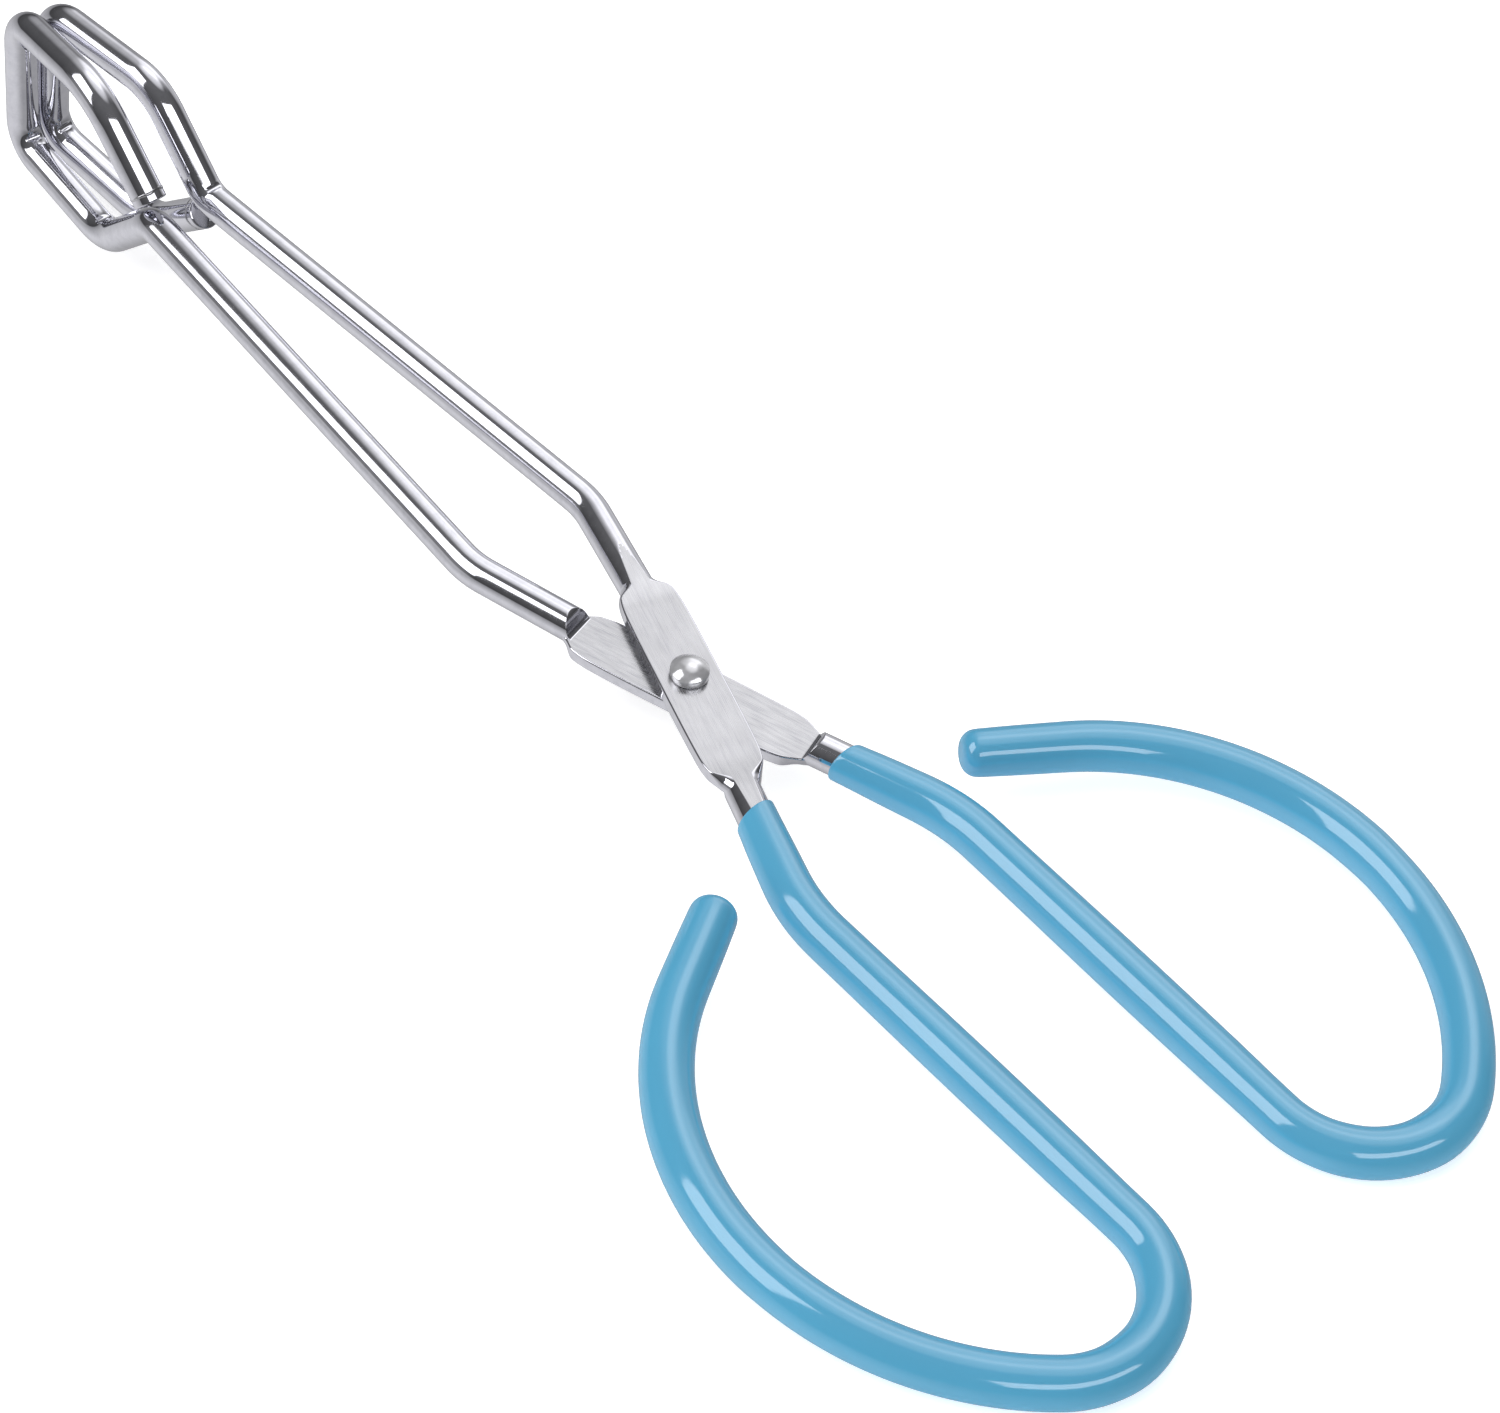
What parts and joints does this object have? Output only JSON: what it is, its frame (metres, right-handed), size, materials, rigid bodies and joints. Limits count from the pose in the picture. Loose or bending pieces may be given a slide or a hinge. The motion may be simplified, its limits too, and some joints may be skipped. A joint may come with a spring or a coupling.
{
  "type": "jar lifter",
  "caption": "Scissor-action wire tongs with coated finger bows, a riveted half-lap pivot and two closed wire-loop jaws for lifting hot jars and lids.",
  "frame": {"origin": "middle of the bounding box with the jaws closed", "axes": "+X along the tongs towards the jaws, +Z along the pivot rivet towards its domed head, +Y to the side of the upper arm's finger bow"},
  "size_m": [0.2541, 0.11, 0.033],
  "materials": {
    "polished_wire": "polished round wire, pressed plate brushed along its length",
    "blue_vinyl": "smooth glossy light blue vinyl coating",
    "rivet_metal": "polished domed head",
    "weld_metal": "bright uneven bead"
  },
  "bodies": {
    "lower_half": {"lower_arm": "polished_wire", "lower_grip": "blue_vinyl", "lower_jaw_weld": "weld_metal", "pivot_rivet": "rivet_metal"},
    "upper_half": {"upper_arm": "polished_wire", "upper_grip": "blue_vinyl", "upper_jaw_weld": "weld_metal"}
  },
  "joints": [
    {"name": "pivot", "type": "hinge", "parent": "lower_half", "child": "upper_half", "pos_m": [-0.01631, 0, 0], "axis": [0, 0, -1], "range_deg": [0, 45]}
  ]
}
